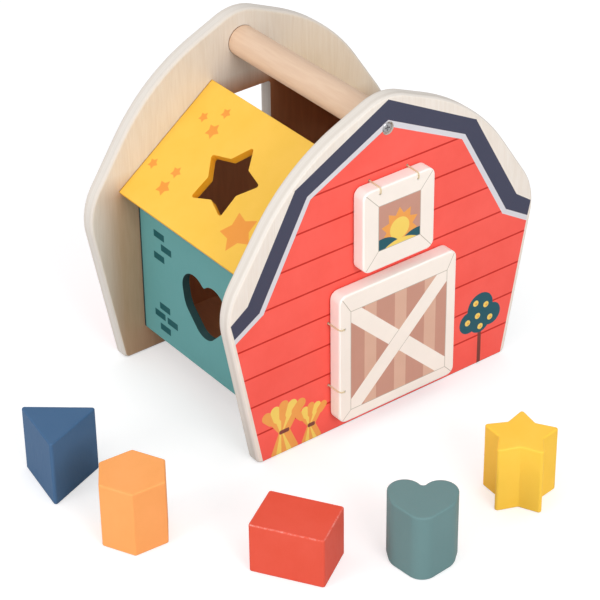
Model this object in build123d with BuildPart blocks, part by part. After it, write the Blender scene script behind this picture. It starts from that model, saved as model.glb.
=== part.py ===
"""Wooden shape sorter house: two gable boards, walls and roofs with cut-out shapes, and five blocks.

All sizes are in millimetres. X runs along the front, Y from the front to the back, and Z is up.
The origin is the middle of the front board's underside, on the surface that the house stands on.
"""

import os
from math import acos, atan2, cos, hypot, pi, radians, sin, sqrt, tan

from build123d import *

# Gable boards, front and back
board_thickness = 9.0
board_gap = 121.0
foot_half_width = 88.9
foot_radius = 4.0
elbow_half_width = 108.2
elbow_height = 103.9
elbow_radius = 39.3
shoulder_half_width = 62.4
shoulder_height = 173.2
shoulder_radius = 120.0
apex_height = 200.1
apex_radius = 30.2
board_edge_radius = 2.0

# Walls, roofs and floor between the boards
panel_thickness = 4.7
wall_half_width = 74.2
wall_foot_height = 17.4
floor_lap = 0.3
floor_side_gap = 0.1
panel_edge_radius = 0.5
roof_eave_half_width = 86.7
roof_eave_height = 112.0
roof_ridge_half_width = 21.2
roof_ridge_height = 161.0

# Hidden wooden pins that join each panel to the boards
pin_diameter = 2.5
pin_in_board = 6.0
pin_in_panel = 16.0
pin_inset = 17.0
pin_side_gap = 0.05
pin_end_gap = 0.5

# Handle and its screws
handle_diameter = 18.0
handle_below_apex = 21.4
handle_socket_depth = 2.5
handle_socket_gap = 0.1
screw_head_diameter = 6.0
screw_head_height = 1.8
screw_shank_diameter = 3.5
screw_in_handle = 22.0
screw_shank_gap = 0.05
screw_hole_gap = 0.25
screw_end_gap = 1.0
counterbore_diameter = 7.6
counterbore_depth = 2.4
cross_length = 3.6
cross_width = 0.9
cross_depth = 1.1

# Barn door, hinged at its left side
leaf_thickness = 9.0
leaf_gap = 0.4
leaf_corner_radius = 5.0
leaf_edge_radius = 1.2
door_left = -39.8
door_width = 81.8
door_foot = 10.2
door_height = 82.8
doorway_width = 62.0
doorway_height = 60.0
doorway_radius = 4.0

# Window leaf, hinged at its top
window_middle = 0.7
window_width = 49.0
window_height = 50.2
window_above_door = 8.0
window_opening_width = 38.6
window_opening_height = 38.6
window_opening_below_top = 4.2
window_opening_radius = 2.0

# Cords that hang the two leaves
cord_diameter = 0.9
cord_gap = 0.1
cord_hole_diameter = 1.6
cord_edge_turn = 1.6
cord_hole_turn = 1.2
cord_in_leaf = 8.4
knot_diameter = 3.4
knot_gap = 0.1
door_cord_inset = 3.3
door_cord_drop = 0.9
door_cord_rises = (22.0, 62.6)
window_cord_inset = 3.4
window_cord_offsets = (-13.2, 12.6)

# Blocks, and the room around each one in its hole
block_height = 40.0
block_edge_radius = 1.0
block_corner_radius = 1.5
hole_clearance = 1.1
heart_clearance = 2.2
star_tip_radius = 21.3
star_valley_radius = 12.4
hexagon_radius = 19.9
triangle_radius = 23.9
cuboid_width = 30.7
cuboid_length = 41.3
cuboid_height = 30.5

# Heart, as three circles on each side of its middle
heart_lobe = (9.2, 7.6, 9.3)
heart_cheek = (5.9, 2.6, 11.6)
heart_tip = (0.0, -7.2, 8.8)
heart_notch_radius = 2.0

# Where each block stands
star_spot = (5.8, -110.4)
heart_spot = (-71.2, -122.1)
hexagon_spot = (-174.5, -11.9)
triangle_spot = (-180.7, 51.4)
cuboid_spot = (-122.4, -83.3)

# The way that the top of each block's shape points, in degrees from +X
star_way = 47.0
heart_way = 50.0
hexagon_way = 56.0
triangle_way = 110.9
cuboid_way = 122.3

# Places of the cut-out shapes
wall_hole_height = 58.8
wall_hole_forward = 1.2
roof_hole_from_eave = 39.2

# Most of a side that two corner rounds may take, and of a thickness that one edge round may take
corner_share = 0.98
edge_share = 0.45

front_face = -board_thickness / 2
front_inner = board_thickness / 2
back_inner = front_inner + board_gap
back_face = back_inner + board_thickness
mid_depth = (front_inner + back_inner) / 2
handle_height = apex_height - handle_below_apex
roof_run = roof_eave_half_width - roof_ridge_half_width
roof_rise = roof_ridge_height - roof_eave_height
roof_length = hypot(roof_run, roof_rise)
roof_slope = atan2(roof_rise, roof_run)
wall_inner_half_width = wall_half_width - panel_thickness
floor_top = wall_foot_height + floor_lap
floor_half_width = wall_inner_half_width - floor_side_gap
leaf_back = front_face - leaf_gap
leaf_front = leaf_back - leaf_thickness
window_top = door_foot + door_height + window_above_door + window_height
window_opening_top = window_top - window_opening_below_top
cord_off_leaf = cord_diameter / 2 + cord_gap
sides = {"left": -1, "right": 1}

os.makedirs("parts", exist_ok=True)


def save(part, name):
    """Label a finished piece and write it."""
    part.label = name
    export_step(part, f"parts/{name}.step")


def facing_front(y):
    """Upright plane at depth y that faces the front, with X to the right and Z up."""
    return Plane.XZ.offset(-y)


def rounded_polygon(corners):
    """Closed outline through (x, y, radius) corners, with no round larger than its sides allow."""
    points = [Vector(x, y) for x, y, wanted in corners]
    count = len(points)
    runs = [points[(i + 1) % count] - points[i] for i in range(count)]
    bends = [tan(radians(runs[i - 1].get_angle(runs[i])) / 2) for i in range(count)]
    reach = [corners[i][2] * bends[i] for i in range(count)]
    wanted_lengths = [reach[i] + reach[(i + 1) % count] for i in range(count)]
    ease = [min(1, corner_share * run.length / wanted) for run, wanted in zip(runs, wanted_lengths)]
    with BuildSketch() as face:
        with BuildLine():
            Polyline(*points, close=True)
        make_face()
        for i in range(count):
            corner = face.vertices().sort_by_distance(points[i])[0]
            fillet(corner, corners[i][2] * min(ease[i - 1], ease[i]))
    return face.sketch


def board_outline():
    """Barn gable, the same on both sides of its middle."""
    half = [
        (foot_half_width, 0, foot_radius),
        (elbow_half_width, elbow_height, elbow_radius),
        (shoulder_half_width, shoulder_height, shoulder_radius),
    ]
    mirrored = [(-x, z, radius) for x, z, radius in reversed(half)]
    return rounded_polygon(half + [(0, apex_height, apex_radius)] + mirrored)


def regular_outline(radius, count, grow):
    """Regular shape with a corner at the top, its sides moved out by grow."""
    apothem = radius * cos(pi / count)
    reach = radius * (apothem + grow) / apothem
    turns = [pi / 2 + 2 * pi * i / count for i in range(count)]
    return rounded_polygon([(reach * cos(a), reach * sin(a), block_corner_radius) for a in turns])


def star_outline(grow):
    """Five-pointed star with a tip at the top, its sides moved out by grow."""
    across = star_valley_radius * sin(pi / 5)
    along = star_tip_radius - star_valley_radius * cos(pi / 5)
    side_distance = star_tip_radius * across / hypot(across, along)
    scale = (side_distance + grow) / side_distance
    corners = []
    for i in range(10):
        reach = scale * (star_valley_radius if i % 2 else star_tip_radius)
        turn = pi / 2 + pi * i / 5
        corners.append((reach * cos(turn), reach * sin(turn), block_corner_radius))
    return rounded_polygon(corners)


def touching_way(first, second):
    """Way out from the centres of two circles to the straight line along their outer side."""
    span = hypot(second[0] - first[0], second[1] - first[1])
    travel = atan2(second[1] - first[1], second[0] - first[0])
    return travel + acos((first[2] - second[2]) / span)


def heart_outline(grow):
    """Heart with its tip down: a lobe, a cheek and the tip on each side, joined by straight lines."""
    rounds = [(x, y, radius + grow) for x, y, radius in (heart_lobe, heart_cheek, heart_tip)]
    lobe, cheek, tip = rounds
    notch_rise = sqrt(lobe[2] ** 2 - lobe[0] ** 2)
    ways = [atan2(notch_rise, -lobe[0]), touching_way(lobe, cheek), touching_way(cheek, tip), -pi / 2]
    arcs = []
    for (x, y, radius), first, last in zip(rounds, ways, ways[1:]):
        turns = (first, (first + last) / 2, last)
        arcs.append([(x + radius * cos(turn), y + radius * sin(turn)) for turn in turns])
    with BuildSketch() as heart:
        with BuildLine():
            for arc, following in zip(arcs, arcs[1:] + arcs[:1]):
                ThreePointArc(*arc)
                Line(arc[-1], following[0])
        make_face()
        mirror(about=Plane.YZ)
        notch = heart.vertices().sort_by_distance((0, lobe[1] + notch_rise))[0]
        fillet(notch, heart_notch_radius)
    return heart.sketch


def roof_point(side, along, below):
    """Point (x, z) at a distance up the slope from the eave, and below the roof's top face."""
    x = roof_eave_half_width - along * cos(roof_slope) - below * sin(roof_slope)
    z = roof_eave_height + along * sin(roof_slope) - below * cos(roof_slope)
    return side * x, z


def under_roof(x):
    """Height of the roof's underside at a distance from the middle."""
    level = roof_eave_height - panel_thickness / cos(roof_slope)
    return level + (roof_eave_half_width - x) * tan(roof_slope)


def wall_pin_spots(side):
    """Two pin centres in the end of a wall."""
    x = side * (wall_half_width - panel_thickness / 2)
    return [(x, wall_foot_height + pin_inset), (x, under_roof(wall_half_width) - pin_inset)]


def roof_pin_spots(side):
    """Two pin centres in the end of a roof."""
    places = (pin_inset, roof_length - pin_inset)
    return [roof_point(side, along, panel_thickness / 2) for along in places]


def floor_pin_spots():
    """Two pin centres in the end of the floor."""
    x = floor_half_width - pin_inset
    z = floor_top - panel_thickness / 2
    return [(-x, z), (x, z)]


def pin_rows(spots, side_gap, end_gap):
    """Rods along Y across both joints of a panel, larger than its pins by the two gaps."""
    with BuildPart() as rows:
        for last in (front_inner + pin_in_panel, back_inner + pin_in_board):
            with BuildSketch(facing_front(last + end_gap)):
                with Locations(*spots):
                    Circle(pin_diameter / 2 + side_gap)
            extrude(amount=pin_in_board + pin_in_panel + 2 * end_gap)
    return rows.part


pin_spots = {"floor": floor_pin_spots()}
for side_name, side in sides.items():
    pin_spots[f"{side_name}_wall"] = wall_pin_spots(side)
    pin_spots[f"{side_name}_roof"] = roof_pin_spots(side)


def gable_board(outward):
    """One gable board with its window opening, handle socket, screw hole and pin holes."""
    outer = front_face if outward < 0 else back_face
    inner = outer - outward * board_thickness
    with BuildPart() as board:
        with BuildSketch(facing_front(max(outer, inner))):
            add(board_outline())
        extrude(amount=board_thickness)
        rims = board.faces().filter_by(Axis.Y).edges()
        fillet(rims, min(board_edge_radius, edge_share * board_thickness))
        with BuildSketch(facing_front(back_face)):
            middle = window_opening_top - window_opening_height / 2
            with Locations((0, middle)):
                RectangleRounded(window_opening_width, window_opening_height, window_opening_radius)
        extrude(amount=back_face - front_face, mode=Mode.SUBTRACT)
        with Locations(Plane(origin=(0, inner, handle_height), z_dir=(0, -outward, 0))):
            Hole(handle_diameter / 2 + handle_socket_gap, depth=handle_socket_depth)
        with Locations(Plane(origin=(0, outer, handle_height), z_dir=(0, outward, 0))):
            CounterBoreHole(
                radius=screw_shank_diameter / 2 + screw_hole_gap,
                counter_bore_radius=counterbore_diameter / 2,
                counter_bore_depth=counterbore_depth,
                depth=board_thickness,
            )
        for spots in pin_spots.values():
            add(pin_rows(spots, pin_side_gap, pin_end_gap), mode=Mode.SUBTRACT)
    return board.part


def handle_screw(outward):
    """Cross-head screw from the floor of a board's counterbore into the end of the handle."""
    outer = front_face if outward < 0 else back_face
    seat = outer - outward * counterbore_depth
    handle_end = outer - outward * (board_thickness - handle_socket_depth)
    shank_length = abs(handle_end - seat) + screw_in_handle
    with BuildPart() as screw:
        with BuildSketch(Plane(origin=(0, seat, handle_height), z_dir=(0, outward, 0))):
            Circle(screw_head_diameter / 2)
        extrude(amount=screw_head_height)
        crown = screw.faces().sort_by(Axis.Y)[0 if outward < 0 else -1]
        fillet(crown.edges(), edge_share * screw_head_height)
        top = seat + outward * screw_head_height
        with BuildSketch(Plane(origin=(0, top, handle_height), z_dir=(0, outward, 0))):
            Rectangle(cross_length, cross_width)
            Rectangle(cross_width, cross_length)
        extrude(amount=-cross_depth, mode=Mode.SUBTRACT)
        with BuildSketch(Plane(origin=(0, seat, handle_height), z_dir=(0, outward, 0))):
            Circle(screw_shank_diameter / 2)
        extrude(amount=-shank_length)
    return screw.part


def leaf(x_middle, z_middle, width, height, hole_spots):
    """Hinged leaf with rounded corners and edges, and the holes for its cords."""
    with BuildPart() as body:
        with BuildSketch(facing_front(leaf_back)):
            with Locations((x_middle, z_middle)):
                RectangleRounded(width, height, leaf_corner_radius)
        extrude(amount=leaf_thickness)
        rims = body.faces().filter_by(Axis.Y).edges()
        fillet(rims, min(leaf_edge_radius, edge_share * leaf_thickness))
        with BuildSketch(facing_front(leaf_back)):
            with Locations(*hole_spots):
                Circle(cord_hole_diameter / 2)
        extrude(amount=leaf_thickness, mode=Mode.SUBTRACT)
    return body.part


def hinge_cord(board_hole, leaf_hole):
    """Cord from a knot behind the board, round the leaf's edge and into the hole in its front."""
    outside = leaf_front - cord_off_leaf
    knot_centre = front_inner + knot_gap + knot_diameter / 2
    route_points = [
        (board_hole[0], knot_centre, board_hole[1]),
        (board_hole[0], outside, board_hole[1]),
        (leaf_hole[0], outside, leaf_hole[1]),
        (leaf_hole[0], leaf_front + cord_in_leaf, leaf_hole[1]),
    ]
    with BuildPart() as cord:
        with BuildLine() as route:
            FilletPolyline(*route_points, radius=[cord_edge_turn, cord_hole_turn])
        with BuildSketch(Plane(origin=route_points[0], z_dir=(0, -1, 0))):
            Circle(cord_diameter / 2)
        sweep(path=route.line)
        with Locations(route_points[0]):
            Sphere(knot_diameter / 2)
    return cord.part


def standing_block(outline, height, spot, way):
    """Block that stands at (x, y) with the top of its outline pointing in a direction in degrees."""
    x, y = spot
    turn = radians(way - 90)
    with BuildPart() as block:
        with BuildSketch(Plane(origin=(x, y, 0), x_dir=(cos(turn), sin(turn), 0))):
            add(outline)
        extrude(amount=height)
        fillet(block.faces().filter_by(Axis.Z).edges(), block_edge_radius)
    return block.part


# Boards. Only the front one has a doorway and the holes for the cords.
door_cord_x = door_left - cord_off_leaf
door_leaf_x = door_left + door_cord_inset
door_cord_heights = [door_foot + rise for rise in door_cord_rises]
window_cord_z = window_top + cord_off_leaf
window_leaf_z = window_top - window_cord_inset
window_cord_xs = [window_middle + offset for offset in window_cord_offsets]
board_cord_spots = [(door_cord_x, z) for z in door_cord_heights]
board_cord_spots += [(x, window_cord_z) for x in window_cord_xs]

with BuildPart() as front_board:
    add(gable_board(-1))
    with BuildSketch(facing_front(front_inner)):
        with Locations((door_left + door_width / 2, floor_top + doorway_height / 2)):
            RectangleRounded(doorway_width, doorway_height, doorway_radius)
        with Locations(*board_cord_spots):
            Circle(cord_hole_diameter / 2)
    extrude(amount=board_thickness, mode=Mode.SUBTRACT)
save(front_board.part, "front_board")
save(gable_board(1), "back_board")

# Walls and roofs. The left ones have the heart and the star, the right ones the other two shapes.
wall_shapes = {
    "left": heart_outline(heart_clearance),
    "right": regular_outline(triangle_radius, 3, hole_clearance),
}
roof_shapes = {
    "left": star_outline(hole_clearance),
    "right": regular_outline(hexagon_radius, 6, hole_clearance),
}
wall_hole_depth = mid_depth - wall_hole_forward
for side_name, side in sides.items():
    with BuildPart() as wall:
        with BuildSketch(facing_front(back_inner)):
            with BuildLine():
                Polyline(
                    (side * wall_half_width, wall_foot_height),
                    (side * wall_half_width, under_roof(wall_half_width)),
                    (side * wall_inner_half_width, under_roof(wall_inner_half_width)),
                    (side * wall_inner_half_width, wall_foot_height),
                    close=True,
                )
            make_face()
        extrude(amount=board_gap)
        fillet(wall.edges().filter_by(Axis.Y).sort_by(Axis.Z)[:2], panel_edge_radius)
        centre = (side * (wall_half_width - panel_thickness / 2), wall_hole_depth, wall_hole_height)
        with BuildSketch(Plane(origin=centre, x_dir=(0, 1, 0), z_dir=(1, 0, 0))):
            add(wall_shapes[side_name])
        extrude(amount=panel_thickness, both=True, mode=Mode.SUBTRACT)
        add(pin_rows(pin_spots[f"{side_name}_wall"], pin_side_gap, pin_end_gap), mode=Mode.SUBTRACT)
    save(wall.part, f"{side_name}_wall")

    with BuildPart() as roof:
        with BuildSketch(facing_front(back_inner)):
            with BuildLine():
                Polyline(
                    roof_point(side, 0, 0),
                    roof_point(side, roof_length, 0),
                    roof_point(side, roof_length, panel_thickness),
                    roof_point(side, 0, panel_thickness),
                    close=True,
                )
            make_face()
        extrude(amount=board_gap)
        fillet(roof.edges().filter_by(Axis.Y), panel_edge_radius)
        hole_x, hole_z = roof_point(side, roof_hole_from_eave, panel_thickness / 2)
        upward = (side * sin(roof_slope), 0, cos(roof_slope))
        with BuildSketch(Plane(origin=(hole_x, mid_depth, hole_z), x_dir=(0, side, 0), z_dir=upward)):
            add(roof_shapes[side_name])
        extrude(amount=panel_thickness, both=True, mode=Mode.SUBTRACT)
        add(pin_rows(pin_spots[f"{side_name}_roof"], pin_side_gap, pin_end_gap), mode=Mode.SUBTRACT)
    save(roof.part, f"{side_name}_roof")

with BuildPart() as floor_panel:
    with BuildSketch(facing_front(back_inner)):
        with Locations((0, floor_top - panel_thickness / 2)):
            Rectangle(2 * floor_half_width, panel_thickness)
    extrude(amount=board_gap)
    add(pin_rows(pin_spots["floor"], pin_side_gap, pin_end_gap), mode=Mode.SUBTRACT)
save(floor_panel.part, "floor_panel")

for panel_name, spots in pin_spots.items():
    save(pin_rows(spots, 0, 0), f"{panel_name}_pins")

# Handle and its screws
with BuildPart() as handle_dowel:
    handle_length = board_gap + 2 * handle_socket_depth
    with BuildSketch(facing_front(back_inner + handle_socket_depth)):
        with Locations((0, handle_height)):
            Circle(handle_diameter / 2)
    extrude(amount=handle_length)
    for end, outward in ((front_inner - handle_socket_depth, -1), (back_inner + handle_socket_depth, 1)):
        with Locations(Plane(origin=(0, end, handle_height), z_dir=(0, outward, 0))):
            Hole(screw_shank_diameter / 2 + screw_shank_gap, depth=screw_in_handle + screw_end_gap)
save(handle_dowel.part, "handle_dowel")

with BuildPart() as handle_screws:
    add(handle_screw(-1))
    add(handle_screw(1))
save(handle_screws.part, "handle_screws")

# Hinged leaves and their cords
door_middle = (door_left + door_width / 2, door_foot + door_height / 2)
door_holes = [(door_leaf_x, z - door_cord_drop) for z in door_cord_heights]
save(leaf(*door_middle, door_width, door_height, door_holes), "barn_door")
for cord_name, z, leaf_hole in zip(("lower", "upper"), door_cord_heights, door_holes):
    save(hinge_cord((door_cord_x, z), leaf_hole), f"barn_door_{cord_name}_cord")

window_centre = (window_middle, window_top - window_height / 2)
window_holes = [(x, window_leaf_z) for x in window_cord_xs]
save(leaf(*window_centre, window_width, window_height, window_holes), "window_leaf")
for cord_name, x in zip(sides, window_cord_xs):
    save(hinge_cord((x, window_cord_z), (x, window_leaf_z)), f"window_{cord_name}_cord")

# Blocks
cuboid_corners = [
    (x * cuboid_width / 2, y * cuboid_length / 2, block_corner_radius)
    for x, y in ((1, 1), (-1, 1), (-1, -1), (1, -1))
]
hexagon = regular_outline(hexagon_radius, 6, 0)
triangle = regular_outline(triangle_radius, 3, 0)
cuboid = rounded_polygon(cuboid_corners)
save(standing_block(star_outline(0), block_height, star_spot, star_way), "star_block")
save(standing_block(heart_outline(0), block_height, heart_spot, heart_way), "heart_block")
save(standing_block(hexagon, block_height, hexagon_spot, hexagon_way), "hexagon_block")
save(standing_block(triangle, block_height, triangle_spot, triangle_way), "triangle_block")
save(standing_block(cuboid, cuboid_height, cuboid_spot, cuboid_way), "cuboid_block")
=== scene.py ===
"""Looks of the wooden shape sorter house: bare plywood, paint, prints, cords and a plain studio.

Sizes in the prints are millimetres on the face that carries them: X or Y across, and Z or the roof's
slope up. Everything that Blender places is in metres, in the same frame as the loaded parts.
"""

import math

import bpy
from mathutils import Matrix, Vector


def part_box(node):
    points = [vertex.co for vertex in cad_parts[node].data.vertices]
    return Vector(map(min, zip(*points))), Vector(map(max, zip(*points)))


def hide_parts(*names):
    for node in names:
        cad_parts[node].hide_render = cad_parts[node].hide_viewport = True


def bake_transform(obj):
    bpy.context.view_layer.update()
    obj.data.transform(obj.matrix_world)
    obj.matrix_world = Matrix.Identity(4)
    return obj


bl_info = {
    "name": "Shape Sorter House",
    "version": (1, 0, 0),
    "blender": (4, 5, 0),
    "location": "3D View > Sidebar > Shape Sorter",
    "description": "Finishes the shape sorter house: plywood, paint, prints, cords and the studio",
    "category": "Object",
}

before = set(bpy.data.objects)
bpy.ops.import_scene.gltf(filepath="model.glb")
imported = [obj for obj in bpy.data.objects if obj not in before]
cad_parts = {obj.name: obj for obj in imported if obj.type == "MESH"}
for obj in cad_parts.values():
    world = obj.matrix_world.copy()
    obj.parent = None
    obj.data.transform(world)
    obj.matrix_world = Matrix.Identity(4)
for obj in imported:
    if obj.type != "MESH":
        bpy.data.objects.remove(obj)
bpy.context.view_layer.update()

MM = 0.001

# Studio, in metres: the floor's side, each light as (name, place, size), what the lights face, and the
# camera's place with its ways right and up
FLOOR_SIZE = 12
LIGHTS = (("key", (-0.25, -1.75, 0.9), 0.9), ("side", (-1.6, 0.02, 0.55), 0.8))
LIT_POINT = (-0.04, 0.03, 0.09)
CAMERA_PLACE = (-0.6938, -0.850, 0.783)
CAMERA_RIGHT = (0.79538, -0.60601, -0.01103)
CAMERA_UP = (0.33780, 0.42812, 0.83822)

# Gloss of matt paint and of bare wood
MATT = 0.2
SATIN = 0.4

# Softness of an ink's edge, and how far a shape of ink reaches over the one beside it
INK_EDGE = 0.12
INK_LAP = 0.4

# Gable print, from the middle of the board outwards
FIELD_FOOT = (85.7, 0.7)
BAND_TOP = ((0, 195.7), (61.4, 163.1), (93.3, 104.8), (104.4, 96.8))
BAND_FOOT = ((0, 183.6), (53.75, 156.6), (85.75, 97.8), (102.3, 87.6))
TRIM_FOOT = ((0, 179.9), (51.6, 154.3), (83.2, 95.8), (101.7, 84.4))
SIDING_FIRST = 20.3
SIDING_PITCH = 19.33
SIDING_REACH = (12.0, 164.0)
SIDING_LINE = 1.05
BEYOND_BOARD = 200

# How far a print reaches round the board's edge: not at all, and over the rounded foot
PRINT_DEPTH = 0.12
PRINT_DEPTH_AT_FOOT = 1.7
FOOT_BAND = 3.0

# How far the painted warm shade inside the house reaches under the ends of its panels
PANEL_OVERLAP = 2.0

# How far the painted shade beside the walls reaches along the boards, and where it fades out over the wall's
# top
SHADE_REACH = (13.0, 31.0)
SHADE_FADE = (4.0, -10.0)

# Where the painted warm shade fades out under the ridge, measured down from it
RIDGE_FADE = (2.0, 14.0)

# Barn door and window leaf, measured in from their own sides
DOOR_PANEL_MARGINS = (7.6, 6.8, 7.2, 11.2)
WINDOW_PANEL_MARGINS = (10.3, 10.0, 11.5, 11.0)
MITRE_START = 1.8
MITRE_LINE = 0.4
BRACE_WIDTH = 9.8
STRIPE_PITCH = 21.0
STRIPE_WIDTH = 8.2
STRIPE_FIRST = 13.6

# Printed stars on a roof, as (up from the eave, depth, tip radius)
SMALL_STARS = (
    (61.3, 111.0, 3.5), (69.8, 98.9, 3.6), (57.5, 98.3, 5.1),
    (24.1, 118.7, 3.7), (27.2, 99.8, 3.9), (16.2, 99.9, 5.2),
)
LARGE_STAR = (19.6, 33.7, 12.3)
SMALL_STAR_TURN = math.pi / 2 + 0.2
LARGE_STAR_TURN = math.pi / 2 + 0.5
STAR_VALLEY = 0.57

# Brick marks on a wall, as (depth, height) of their middles
BRICKS = (
    (106.2, 87.8), (99.5, 81.0), (106.9, 73.2),
    (103.4, 40.5), (108.5, 33.9), (96.3, 33.5), (103.7, 26.2),
)
BRICK_SIZE = (10.2, 4.4)
BRICK_CORNER = 0.3

# Painted shadow in the joints: a wall's and a roof's back end at the board behind it, and the handle's ends
# at both boards
WALL_JOINT_WIDTH = 1.3
ROOF_JOINT_WIDTH = 0.6
HANDLE_JOINT_WIDTH = 0.5

# Frame printed round the back window: half its opening's width, its foot, its top and the frame's width
BACK_OPENING = (19.3, 108.4, 147.0)
BACK_FRAME_WIDTH = 8.0
BACK_FRAME_CORNER = 2
BACK_MITRE_SHORT = 0.6

# Plywood: its plies, how softly one turns into the next, where the face veneer ends, and the glue line's
# half width from faint to full, with its share of the colour
PLY_THICKNESS = 1.29
PLY_BLUR = 0.08
VENEER_DEPTH = (0.15, 0.45)
GLUE_LINE = (0.13, 0.03)
GLUE_SHARE = 0.14
GLUE_TONE = (176, 150, 120)

# Wood grain: how fast its figure, fibres and pores change along it and across it, and its rings
GRAIN_FIGURE = (0.012, 0.11, 0.11)
GRAIN_FIBRES = (0.07, 2.3, 2.3)
GRAIN_PORES = (0.35, 5.0, 5.0)
GRAIN_RINGS = 42.0

# Paint: how fast its cloud, the wood's texture under it, its rubbed places and its peel change
PAINT_CLOUD = 0.045
PAINT_TEXTURE = (0.9, 0.9, 0.16)
PAINT_RUB = 0.55
PAINT_PEEL = 1.6

# Two tones of the turned zinc
ZINC_DARK = (176, 176, 178)
ZINC_LIGHT = (222, 222, 224)

# Darker grain of the painted shade on the wood inside the house, as a share of its paler one
INSIDE_GRAIN = 0.85

# How much paint is rubbed off the leaves' rounded edges
LEAF_WEAR = 0.12

# How far a normal points out of a panel's face, from the sides of its holes to its outer and its inner face
OUTER_FACE = (0.3, 0.7)
INNER_FACE = (-0.6, -0.9)

# Cords: strands, each one's share of the diameter, the twist's length, distance off the leaf's front, and
# the step between the points of a line
CORD_STRANDS = 3
STRAND_SHARE = 0.54
CORD_TWIST = 2.6
CORD_OFF_LEAF = 0.45
CORD_STEP = 0.12

# Knot of a cord: its size, its cord's share of the diameter, and the length and way of its tail
KNOT_SIZE = 1.12
KNOT_CORD_SHARE = 0.95
TAIL_CORD_SHARE = 0.9
CORD_TAIL = 2.4
TAIL_WAY = (0.4, 0, -1.0)

# How much lower the barn door's cord holes are than those in the board
DOOR_CORD_DROP = 0.9

# Straw sheaves at the front board's foot, as (middle, height), and their straws' ways out
SHEAVES = ((-71.0, 34.0), (-52.5, 25.0))
STRAWS = (-1, -0.5, 0, 0.5, 1)
STRAW_FOOT = 1.2
HALF_TIE = 1.3
TIE_CORNER = 1

# Shares of a sheaf's height: half its spread, its top and how much lower the outer straws end, its waist's
# height and half width, its ears' height, and a straw's width below the waist, above it and in the ear
SHEAF_SPREAD = 0.34
SHEAF_TOP = 0.92
SHEAF_DROOP = 0.1
SHEAF_WAIST = (0.42, 0.1)
SHEAF_EARS = 0.72
STRAW_WIDTHS = (0.13, 0.12, 0.19)

# How far out a straw stands at its toe, at the waist and at its ear, as shares of its way out at the top
STRAW_TOE = 0.6
STRAW_KNEE = 0.12
STRAW_EAR = 0.72

# Fruit tree, as (middle, crown's height), its trunk, and its leaves and fruit from the crown, with radii
TREE = (69.0, 34.0)
TRUNK_WIDTH = 2.6
TREE_LEAVES = ((0, 5, 9.4), (-8, -2.5, 7.2), (8, -2.5, 7.2), (0, -4.5, 7.6))
TREE_FRUIT = ((-3.4, 8.6), (4.3, 5.2), (-9.2, -2.4), (-1.8, -0.4), (7.6, -4.6), (0.4, -8.2))
FRUIT_RADIUS = 1.9
FRUIT_SHADE_RADIUS = 0.7
FRUIT_SHADE_SHIFT = 0.4

# Sun in the window leaf's panel, above the panel's foot, and the hills as (across, up, radius) from the
# panel's left corner, its right corner and its middle
SUN_HEIGHT = 9.5
SUN_RADIUS = 6.6
SUNBEAM_REACH = 13.0
LEFT_HILL = (3, -7.0, 14.0)
RIGHT_HILL = (-2, -10.5, 16.0)
NEAR_FIELD = (1, -19.0, 22.0)


def linear(red, green, blue):
    """Scene colour from the 0 to 255 values of a paint chart."""
    shares = [value / 255 for value in (red, green, blue)]
    return tuple(s / 12.92 if s <= 0.04045 else ((s + 0.055) / 1.055) ** 2.4 for s in shares)


def box_mm(node):
    """Lowest and highest corner of a loaded part, in millimetres."""
    low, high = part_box(node)
    return low / MM, high / MM


def colour_setting(name, description, *chart):
    return bpy.props.FloatVectorProperty(
        name=name, description=description, default=linear(*chart), size=3, min=0, max=1, subtype="COLOR"
    )


def length_setting(name, description, millimetres):
    return bpy.props.FloatProperty(
        name=name, description=description, default=millimetres * MM, min=0, unit="LENGTH"
    )


def share_setting(name, description, share):
    return bpy.props.FloatProperty(
        name=name, description=description, default=share, min=0, max=1, subtype="FACTOR"
    )


class SorterPaintSettings(bpy.types.PropertyGroup):
    """Paint colours and how far they are worn."""

    teal: colour_setting("Teal", "Paint of the walls", 102, 162, 162)
    teal_block: colour_setting("Teal block", "Paint of the heart block", 107, 139, 140)
    yellow: colour_setting("Yellow", "Paint of the roofs", 250, 200, 84)
    yellow_block: colour_setting("Yellow block", "Paint of the star block", 254, 205, 78)
    orange: colour_setting("Orange", "Paint of the hexagon block", 252, 170, 100)
    blue: colour_setting("Blue", "Paint of the triangle block", 68, 102, 139)
    red: colour_setting("Red", "Paint of the cuboid block", 226, 88, 68)
    cream: colour_setting("Cream", "Paint of the door and the window leaf", 254, 244, 234)
    wear: share_setting("Wear", "How much paint is rubbed off the rounded edges", 0.1)
    # Paler rims of the cuboid block: partly rubbed paint and partly a painted highlight
    block_wear_and_highlight: share_setting("Block wear", "How much is rubbed off the cuboid block's edges", 0.5)
    # Painted shade: deeper copies of the paint for the sides of the holes
    teal_cut_shade: colour_setting("Teal cut side", "Paint in the sides of the wall's holes", 55, 92, 95)
    yellow_cut_shade: colour_setting("Yellow cut side", "Paint in the sides of the roof's holes", 255, 182, 48)
    # Painted light: a paler, cooler copy of the cream for the leaves' sides, lighter than the cream to stand
    # in for the light on them
    leaf_side_painted_light: colour_setting("Leaf sides", "Paint of the door's and the window leaf's sides", 254, 255, 249)


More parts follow.
